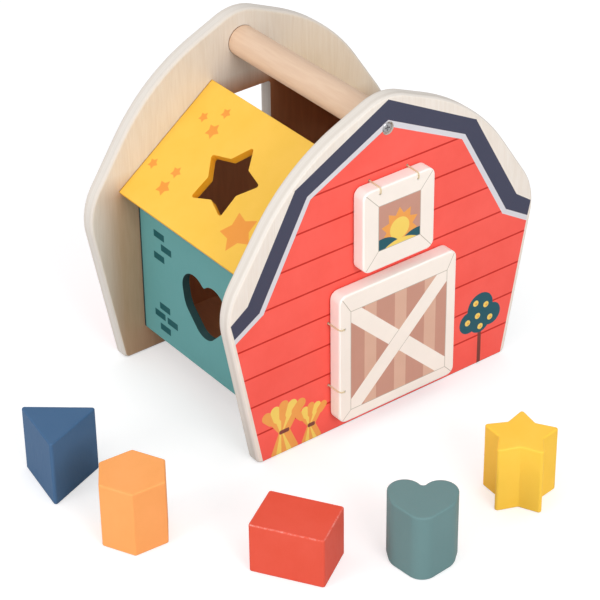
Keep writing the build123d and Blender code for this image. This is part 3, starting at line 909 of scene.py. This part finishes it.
def wall_print(drawing, inks):
    """Brick marks, and a painted shadow in the gap at the wall's back end."""
    wall = box_mm("left_wall")[1]
    # Painted shadow: a dark strip where the wall meets the back board
    drawing.ink(drawing.box((wall.y - WALL_JOINT_WIDTH, 0), (wall.y + WALL_JOINT_WIDTH, wall.z)), inks.joint_shadow)
    half_across, half_up = BRICK_SIZE[0] / 2, BRICK_SIZE[1] / 2
    for depth, height in BRICKS:
        low, high = (depth - half_across, height - half_up), (depth + half_across, height + half_up)
        drawing.ink(drawing.box(low, high, BRICK_CORNER), inks.brick)


def star_print(drawing, inks):
    """Stars, and a thin painted shadow at the roof's back end, where it meets the back board."""
    back = box_mm("left_roof")[1].y
    # Painted shadow: a thin dark line where the roof meets the back board
    joint_shadow = drawing.nodes.math("SUBTRACT", back - ROOF_JOINT_WIDTH, drawing.across)
    drawing.ink(joint_shadow, inks.roof_joint_shadow)
    for up, depth, tip in SMALL_STARS:
        drawing.ink(drawing.star((depth, up), tip, SMALL_STAR_TURN), inks.roof_star)
    up, depth, tip = LARGE_STAR
    drawing.ink(drawing.star((depth, up), tip, LARGE_STAR_TURN), inks.roof_star)


def roof_ways(name):
    """Unit way out of a roof's top face, unit way up its slope, and the eave's place along that."""
    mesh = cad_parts[name].data
    outward = max((face for face in mesh.polygons if face.normal.z > 0), key=lambda face: face.area).normal
    up_slope = Vector((0, 1, 0)).cross(outward)
    up_slope *= math.copysign(1, up_slope.z)
    eave = min(vertex.co.dot(up_slope) for vertex in mesh.vertices) / MM
    return outward.copy(), up_slope, eave


def finish_panel(name, paint, cut, outward, draw, up):
    """Wall or roof: paint and a print outside, and inside a darker brown that is painted shade.

    cut is a deeper copy of the paint, a painted shade, in the sides of its holes, outward is the unit way out
    of its face, and up is the unit way up that face with the place of its foot.
    """
    scene = bpy.context.scene
    finish = Finish(f"{name} finish", Specular_IOR_Level=MATT)
    nodes = finish.nodes
    ground = nodes.add("ShaderNodeRGB").outputs[0]
    ground.default_value = (*paint, 1)
    rise = nodes.math("SUBTRACT", nodes.vector("DOT_PRODUCT", finish.point, up[0]), up[1])
    drawing = Drawing(nodes, finish.y, rise, ground)
    draw(drawing, scene.sorter_prints)
    facing = nodes.vector("DOT_PRODUCT", finish.normal, outward)
    outer = nodes.band(facing, *OUTER_FACE)
    # Painted shade: the sides of the holes and the edges take the deeper copy of the paint
    colour = nodes.mix(outer, cut, drawing.colour)
    edge = finish.rounding(facing)
    painted = finish.painted(colour, scene.sorter_wood.veneer, edge, scene.sorter_paint.wear)
    # Painted shade: the inner faces take the darker brown that stands in for the shadow inside the house
    grain = finish.grain("yxz", *inside_painted_shade(), figure=0.4)
    inner = nodes.band(facing, *INNER_FACE)
    colour = nodes.mix(inner, painted["Colour"], grain["Colour"])
    return finish.set(colour, painted["Roughness"], painted["Height"], bump=0.2, distance=0.1)


def finish_bare(name, light, dark, figure):
    """Bare wood all over, with its grain along Y."""
    finish = Finish(name, Roughness=0.6, Specular_IOR_Level=SATIN)
    grain = finish.grain("yxz", light, dark, figure)
    return finish.set(grain["Colour"], None, grain["Height"], bump=0.25, distance=0.1)


def finish_handle():
    """Beech along its grain, with a thin painted shadow ring where it meets each board."""
    wood = bpy.context.scene.sorter_wood
    finish = Finish("beech handle", Roughness=0.5, Specular_IOR_Level=SATIN)
    nodes = finish.nodes
    grain = finish.grain("yxz", wood.beech, wood.beech_dark, figure=0.35)
    middle = (box_mm("front_board")[1].y + box_mm("back_board")[0].y) / 2
    reach = box_mm("back_board")[0].y - HANDLE_JOINT_WIDTH - middle
    from_middle = nodes.math("ABSOLUTE", nodes.math("SUBTRACT", finish.y, middle))
    # Painted shadow: a thin dark ring on the handle where it meets each board
    joint_shadow = nodes.cover(nodes.math("SUBTRACT", reach, from_middle))
    colour = nodes.mix(joint_shadow, grain["Colour"], wood.seam)
    return finish.set(colour, None, grain["Height"], bump=0.25, distance=0.1)


def finish_block(name, paint, wear):
    """Painted block, paler at its rounded rims: partly rubbed paint and partly a painted highlight."""
    finish = Finish(f"{name} finish", Specular_IOR_Level=MATT)
    edge = finish.rounding(finish.normal_z)
    painted = finish.painted(paint, bpy.context.scene.sorter_wood.margin, edge, wear)
    return finish.set(painted["Colour"], painted["Roughness"], painted["Height"], bump=0.3, distance=0.12)


def deselect():
    """Leave object mode with nothing selected."""
    if bpy.context.mode != "OBJECT":
        bpy.ops.object.mode_set(mode="OBJECT")
    bpy.ops.object.select_all(action="DESELECT")


def choose(*objects):
    """Select objects, the first one active."""
    deselect()
    for item in objects:
        item.select_set(True)
    bpy.context.view_layer.objects.active = objects[0]


def smooth_route(points):
    """Points of a smooth line along a route, read from a NURBS spline with no thickness."""
    curve = bpy.data.curves.new("route", "CURVE")
    curve.dimensions = "3D"
    curve.resolution_u = 8
    spline = curve.splines.new("NURBS")
    spline.points.add(len(points) - 1)
    for control, point in zip(spline.points, points):
        control.co = (*point, 1)
    spline.order_u = 3
    spline.use_endpoint_u = True
    item = bpy.data.objects.new("route", curve)
    bpy.context.scene.collection.objects.link(item)
    mesh = bpy.data.meshes.new_from_object(item)
    found = [vertex.co.copy() for vertex in mesh.vertices]
    bpy.data.objects.remove(item)
    return found


def tube(name, points, radius, closed=False):
    """Round tube along points, as a mesh with closed ends."""
    curve = bpy.data.curves.new(name, "CURVE")
    curve.dimensions = "3D"
    curve.bevel_depth = radius
    curve.bevel_resolution = 2
    curve.use_fill_caps = True
    spline = curve.splines.new("POLY")
    spline.points.add(len(points) - 1)
    for control, point in zip(spline.points, points):
        control.co = (*point, 1)
    spline.use_cyclic_u = closed
    item = bpy.data.objects.new(name, curve)
    bpy.context.scene.collection.objects.link(item)
    choose(item)
    bpy.ops.object.convert(target="MESH")
    bpy.ops.object.shade_smooth()
    return bpy.context.view_layer.objects.active


def strands(name, points, diameter):
    """Twisted strands round a line of points."""
    strand_radius = diameter / 2 * STRAND_SHARE
    offset = diameter / 2 - strand_radius
    ways = [(after - before).normalized() for before, after in zip(points, points[1:])]
    ways.append(ways[-1])
    side = ways[0].orthogonal().normalized()
    frames = []
    for way in ways:
        side = (side - way * side.dot(way)).normalized()
        frames.append((side.copy(), way.cross(side)))
    made = []
    for number in range(CORD_STRANDS):
        travel = 0.0
        line = []
        for i, point in enumerate(points):
            if i:
                travel += (point - points[i - 1]).length
            turn = 2 * math.pi * (travel / (CORD_TWIST * MM) + number / CORD_STRANDS)
            first, second = frames[i]
            line.append(point + offset * (first * math.cos(turn) + second * math.sin(turn)))
        made.append(tube(f"{name}_{number}", line, strand_radius))
    return made


def even(points, step):
    """The same line with a point at every step."""
    line = [points[0]]
    for point in points[1:]:
        gap = (point - line[-1]).length
        while gap > step:
            line.append(line[-1].lerp(point, step / gap))
            gap = (point - line[-1]).length
    return line


def overhand_knot(name, centre, size, radius):
    """Tight overhand knot as a closed loop that winds through itself."""
    steps = 60
    line = []
    for i in range(steps):
        t = 2 * math.pi * i / steps
        x = math.sin(t) + 2 * math.sin(2 * t)
        y = math.cos(t) - 2 * math.cos(2 * t)
        z = -math.sin(3 * t)
        line.append(centre + Vector((x, 0.9 * z, y)) * (size / 3))
    return tube(name, line, radius, closed=True)


def finish_cord():
    """Twisted cord: pale strands, darker between them, with fibres."""
    wood = bpy.context.scene.sorter_wood
    finish = Finish("cord finish", Roughness=0.9, Sheen_Weight=0.25)
    nodes = finish.nodes
    fibres = nodes.noise(nodes.scale(finish.point, 4.0), 1.0, 3.0, 0.7)
    colour = nodes.mix(nodes.band(fibres, 0.35, 0.7), wood.cord, wood.cord_dark)
    return finish.set(colour, None, fibres, bump=0.6, distance=0.1)


def hang_cord(node, leaf_node, along, knot_width, drop):
    """Twisted cord with its knot, from behind the board over the leaf's edge into the leaf.

    along is the axis that runs from the leaf's hinged edge into the leaf, with its sign, and drop is how
    much lower the leaf's hole lies than the board's.
    """
    low, high = box_mm(node)
    leaf_low, leaf_high = box_mm(leaf_node)
    board_low, board_high = box_mm("front_board")
    diameter = bpy.context.scene.sorter_wood.cord_diameter
    flat = Vector((0, 1, 0))
    centre = (low + high) / 2
    reach = sorted((low.dot(along), high.dot(along)))
    outside = reach[0] + knot_width / 2
    hole = reach[1] - diameter / MM / 2 - outside
    knot_y = board_high.y + (high.y - board_high.y) / 2
    start = centre - along * centre.dot(along) + along * outside - flat * centre.y
    front = leaf_low.y - CORD_OFF_LEAF
    # Each stop is how far it lies from the board's hole into the leaf, and its depth
    stops = (
        (0, knot_y), (0, board_low.y + 2), (0, board_low.y - 0.6), (0.2, leaf_low.y + 3.4),
        (0.35, leaf_low.y + 0.4), (1.1, front + 0.15), (hole - 1.8, front), (hole - 0.1, front + 0.1),
        (hole, leaf_low.y + 1.5), (hole, leaf_high.y - 1.0),
    )
    fall = Vector((0, 0, -drop / hole))
    route = [(start + (along + fall) * travel + flat * y) * MM for travel, y in stops]
    line = even(smooth_route(route), CORD_STEP * MM)
    pieces = strands(f"{node}_strand", line, diameter)
    knot_centre = route[0]
    knot_radius = diameter / 2 * KNOT_CORD_SHARE
    pieces.append(overhand_knot(f"{node}_knot", knot_centre, KNOT_SIZE * MM, knot_radius))
    tail_end = knot_centre + Vector(TAIL_WAY).normalized() * CORD_TAIL * MM
    tail = even([knot_centre, tail_end], CORD_STEP * MM)
    pieces += strands(f"{node}_tail", tail, diameter * TAIL_CORD_SHARE)
    choose(*pieces)
    bpy.ops.object.join()
    cord = bpy.context.view_layer.objects.active
    cord.name = f"{node}_twisted"
    cord.data.name = cord.name
    cord.data.materials.clear()
    cord.data.materials.append(bpy.data.materials["cord finish"])
    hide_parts(node)
    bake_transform(cord)


class SORTER_OT_stage(bpy.types.Operator):
    """Set up the floor, the lights and the camera."""

    bl_idname = "sorter.stage"
    bl_label = "Studio"

    def execute(self, context):
        scene = context.scene
        studio = scene.sorter_studio
        scene.view_settings.view_transform = "Standard"
        scene.world = bpy.data.worlds.new("studio sky")
        scene.world.use_nodes = True
        background = scene.world.node_tree.nodes["Background"]
        background.inputs["Color"].default_value = WHITE
        nodes = Nodes(scene.world.node_tree)
        up = nodes.split(nodes.add("ShaderNodeTexCoord").outputs["Generated"])[2]
        share = nodes.math("MULTIPLY_ADD", nodes.band(up, 0, 1), 1 - studio.horizon, studio.horizon)
        seen = nodes.add("ShaderNodeLightPath").outputs["Is Camera Ray"]
        light = nodes.math("MAXIMUM", seen, nodes.math("MULTIPLY", share, studio.sky))
        nodes.feed(background.inputs["Strength"], light)

        deselect()
        bpy.ops.mesh.primitive_plane_add(size=FLOOR_SIZE)
        floor = context.object
        floor.name = "studio_floor"
        paper = bpy.data.materials.new("studio paper")
        paper.use_nodes = True
        shader = paper.node_tree.nodes["Principled BSDF"]
        shader.inputs["Base Color"].default_value = (*studio.floor, 1)
        shader.inputs["Roughness"].default_value = 0.95
        shader.inputs["Specular IOR Level"].default_value = 0.1
        shader.inputs["Emission Color"].default_value = WHITE
        nodes = Nodes(paper.node_tree)
        seen = nodes.add("ShaderNodeLightPath").outputs["Is Camera Ray"]
        nodes.feed(shader.inputs["Emission Strength"], nodes.math("MULTIPLY", seen, studio.glow))
        floor.data.materials.append(paper)

        for name, place, size in LIGHTS:
            deselect()
            way = Vector(LIT_POINT) - Vector(place)
            turn = way.to_track_quat("-Z", "Y").to_euler()
            bpy.ops.object.light_add(type="AREA", location=place, rotation=turn)
            light = context.object
            light.name = f"{name}_light"
            light.data.size = size
            light.data.energy = getattr(studio, name)

        right, up = Vector(CAMERA_RIGHT), Vector(CAMERA_UP)
        back = right.cross(up)
        deselect()
        bpy.ops.object.camera_add()
        camera = context.object
        turn = Matrix((right, up, back)).transposed().to_4x4()
        camera.matrix_world = Matrix.Translation(CAMERA_PLACE) @ turn
        camera.data.sensor_width = 36
        camera.data.lens = studio.lens
        camera.data.clip_start = 0.01
        camera.data.clip_end = 20
        scene.camera = camera
        return {"FINISHED"}


class SORTER_OT_cords(bpy.types.Operator):
    """Twist the four cords that hang the leaves, each with its knot."""

    bl_idname = "sorter.cords"
    bl_label = "Cords"

    def execute(self, context):
        finish_cord()
        low, high = box_mm("barn_door_lower_cord")
        knot_width = high.z - low.z
        for level in ("lower", "upper"):
            hang_cord(
                f"barn_door_{level}_cord", "barn_door", Vector((1, 0, 0)), knot_width, DOOR_CORD_DROP
            )
        for side in ("left", "right"):
            hang_cord(f"window_{side}_cord", "window_leaf", Vector((0, 0, -1)), knot_width, 0)
        return {"FINISHED"}


class SORTER_OT_boards(bpy.types.Operator):
    """Finish the two gable boards: bare plywood and the barn print."""

    bl_idname = "sorter.boards"
    bl_label = "Gable boards"

    def execute(self, context):
        dress("front_board", finish_board("front_board", -1, front_pictures))
        dress("back_board", finish_board("back_board", 1, back_pictures))
        return {"FINISHED"}


class SORTER_OT_panels(bpy.types.Operator):
    """Paint the walls and the roofs, with brick marks and stars."""

    bl_idname = "sorter.panels"
    bl_label = "Walls and roofs"

    def execute(self, context):
        paint = context.scene.sorter_paint
        for name, side in (("left", -1), ("right", 1)):
            wall, roof = f"{name}_wall", f"{name}_roof"
            teal, yellow = (paint.teal, paint.teal_cut_shade), (paint.yellow, paint.yellow_cut_shade)
            dress(wall, finish_panel(wall, *teal, (side, 0, 0), wall_print, ((0, 0, 1), 0)))
            outward, up_slope, eave = roof_ways(roof)
            dress(roof, finish_panel(roof, *yellow, outward, star_print, (up_slope, eave)))
        return {"FINISHED"}


class SORTER_OT_bare_wood(bpy.types.Operator):
    """Finish the handle and the pins in bare wood, and the floor in the darker brown of the painted shade
    inside the house.
    """

    bl_idname = "sorter.bare_wood"
    bl_label = "Handle, pins and floor"

    def execute(self, context):
        wood = context.scene.sorter_wood
        dress("handle_dowel", finish_handle())
        # Painted shade: the floor takes the darker brown that stands in for the shadow inside the house
        dress("floor_panel", finish_bare("bare floor", *inside_painted_shade(), figure=0.3))
        pins = finish_bare("beech pins", wood.beech, wood.beech_dark, figure=0.2)
        for name in ("left_wall", "right_wall", "left_roof", "right_roof", "floor"):
            dress(f"{name}_pins", pins)
        return {"FINISHED"}


class SORTER_OT_screws(bpy.types.Operator):
    """Finish the two cross-head screws in zinc."""

    bl_idname = "sorter.screws"
    bl_label = "Screws"

    def execute(self, context):
        finish = Finish("zinc screw", Metallic=1.0)
        nodes = finish.nodes
        turned = nodes.noise(nodes.scale(finish.point, 1.4), 1.0, 4.0, 0.7)
        colour = nodes.mix(turned, linear(*ZINC_DARK), linear(*ZINC_LIGHT))
        roughness = nodes.math("MULTIPLY_ADD", turned, 0.25, 0.22)
        dress("handle_screws", finish.set(colour, roughness, turned, bump=0.2, distance=0.05))
        return {"FINISHED"}


class SORTER_OT_leaves(bpy.types.Operator):
    """Paint the barn door and the window leaf."""

    bl_idname = "sorter.leaves"
    bl_label = "Door and window leaf"

    def execute(self, context):
        dress("barn_door", finish_leaf("barn_door", door_print))
        dress("window_leaf", finish_leaf("window_leaf", window_print))
        return {"FINISHED"}


class SORTER_OT_blocks(bpy.types.Operator):
    """Paint the five blocks."""

    bl_idname = "sorter.blocks"
    bl_label = "Blocks"

    def execute(self, context):
        paint = context.scene.sorter_paint
        # The blocks' paler rims are partly rubbed paint and partly a painted highlight, strongest on the
        # cuboid
        blocks = (
            ("star_block", paint.yellow_block, paint.wear),
            ("heart_block", paint.teal_block, paint.wear),
            ("hexagon_block", paint.orange, paint.wear),
            ("triangle_block", paint.blue, paint.wear),
            ("cuboid_block", paint.red, paint.block_wear_and_highlight),
        )
        for name, colour, wear in blocks:
            dress(name, finish_block(name, colour, wear))
        return {"FINISHED"}


class SORTER_PT_sidebar(bpy.types.Panel):
    """The steps that finish the house, in order."""

    bl_label = "Shape Sorter House"
    bl_idname = "SORTER_PT_sidebar"
    bl_space_type = "VIEW_3D"
    bl_region_type = "UI"
    bl_category = "Shape Sorter"

    def draw(self, context):
        for step in STEPS:
            self.layout.operator(step.bl_idname)
        for settings in SETTINGS:
            group = getattr(context.scene, settings)
            self.layout.label(text=group.bl_rna.name)
            for name in group.__annotations__:
                self.layout.prop(group, name)


STEPS = (
    SORTER_OT_stage, SORTER_OT_cords, SORTER_OT_boards, SORTER_OT_leaves, SORTER_OT_panels,
    SORTER_OT_bare_wood, SORTER_OT_screws, SORTER_OT_blocks,
)
SETTINGS = {
    "sorter_paint": SorterPaintSettings,
    "sorter_prints": SorterPrintSettings,
    "sorter_wood": SorterWoodSettings,
    "sorter_studio": SorterStudioSettings,
}
CLASSES = (*SETTINGS.values(), *STEPS, SORTER_PT_sidebar)


def register():
    for item in CLASSES:
        bpy.utils.register_class(item)
    for name, settings in SETTINGS.items():
        setattr(bpy.types.Scene, name, bpy.props.PointerProperty(type=settings))


def unregister():
    for name in SETTINGS:
        delattr(bpy.types.Scene, name)
    for item in reversed(CLASSES):
        bpy.utils.unregister_class(item)


def main():
    register()
    build_groups()
    bpy.ops.sorter.stage()
    bpy.ops.sorter.cords()
    bpy.ops.sorter.boards()
    bpy.ops.sorter.leaves()
    bpy.ops.sorter.panels()
    bpy.ops.sorter.bare_wood()
    bpy.ops.sorter.screws()
    bpy.ops.sorter.blocks()


if __name__ == "__main__":
    main()
